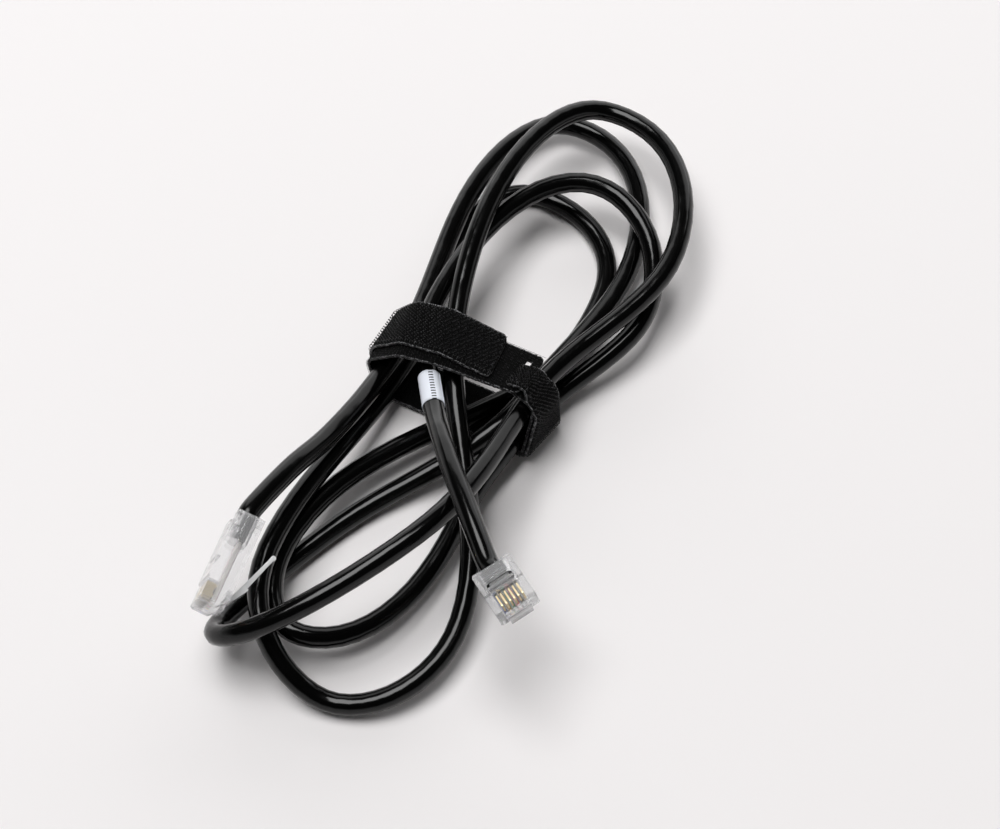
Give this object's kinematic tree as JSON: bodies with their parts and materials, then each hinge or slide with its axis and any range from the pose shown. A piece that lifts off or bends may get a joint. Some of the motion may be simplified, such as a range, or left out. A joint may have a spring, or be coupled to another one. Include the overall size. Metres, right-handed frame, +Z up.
{
  "type": "modular patch cord, hanked",
  "caption": "Black round modular cord folded into a loose hank, with clear latching plugs and a hook-and-loop tie.",
  "frame": {"origin": "middle of the footprint, on the surface that the hank lies on", "axes": "+Y along the hank toward the end with no plugs, +Z up, +X to the right seen from the plug end"},
  "size_m": [0.0752, 0.1748, 0.0388],
  "materials": {
    "pvc_jacket": "glossy extruded PVC",
    "label_paper": "satin coated paper",
    "hook_and_loop_cloth": "woven nylon with a looped pile",
    "clear_polycarbonate": "clear moulded polycarbonate",
    "gold_plated_contact": "bright gold plating",
    "wire_white": "smooth insulation",
    "wire_black": "smooth insulation",
    "wire_red": "smooth insulation",
    "wire_green": "smooth insulation",
    "wire_yellow": "smooth insulation",
    "wire_blue": "smooth insulation"
  },
  "bodies": {
    "cord": {"cable_hank": "pvc_jacket", "eight_way_tail": "pvc_jacket", "six_way_tail": "pvc_jacket", "label_wrap": "label_paper", "tie_strap": "hook_and_loop_cloth", "eight_way_housing": "clear_polycarbonate", "six_way_housing": "clear_polycarbonate", "eight_way_contacts": "gold_plated_contact", "eight_way_strain_bar": "clear_polycarbonate", "eight_way_jacket_end": "pvc_jacket", "eight_way_wire_white": "wire_white", "eight_way_wire_black": "wire_black", "eight_way_wire_red": "wire_red", "eight_way_wire_green": "wire_green", "eight_way_wire_yellow": "wire_yellow", "eight_way_wire_blue": "wire_blue", "six_way_contacts": "gold_plated_contact", "six_way_strain_bar": "clear_polycarbonate", "six_way_jacket_end": "pvc_jacket", "six_way_wire_white": "wire_white", "six_way_wire_black": "wire_black", "six_way_wire_red": "wire_red", "six_way_wire_green": "wire_green", "six_way_wire_yellow": "wire_yellow", "six_way_wire_blue": "wire_blue"},
    "eight_way_latch_lever": {"eight_way_latch": "clear_polycarbonate"},
    "six_way_latch_lever": {"six_way_latch": "clear_polycarbonate"}
  },
  "joints": [
    {"name": "eight_way_latch_bend", "type": "hinge", "parent": "cord", "child": "eight_way_latch_lever", "pos_m": [-0.02969, -0.07766, 0.02303], "axis": [0.3734, -0.0712, 0.9249], "range_deg": [0, 13], "stiffness_Nm_per_rad": 0.02},
    {"name": "six_way_latch_bend", "type": "hinge", "parent": "cord", "child": "six_way_latch_lever", "pos_m": [0.03198, -0.06143, 0.03158], "axis": [0.625, 0.7534, 0.2041], "range_deg": [0, 13], "stiffness_Nm_per_rad": 0.02}
  ]
}
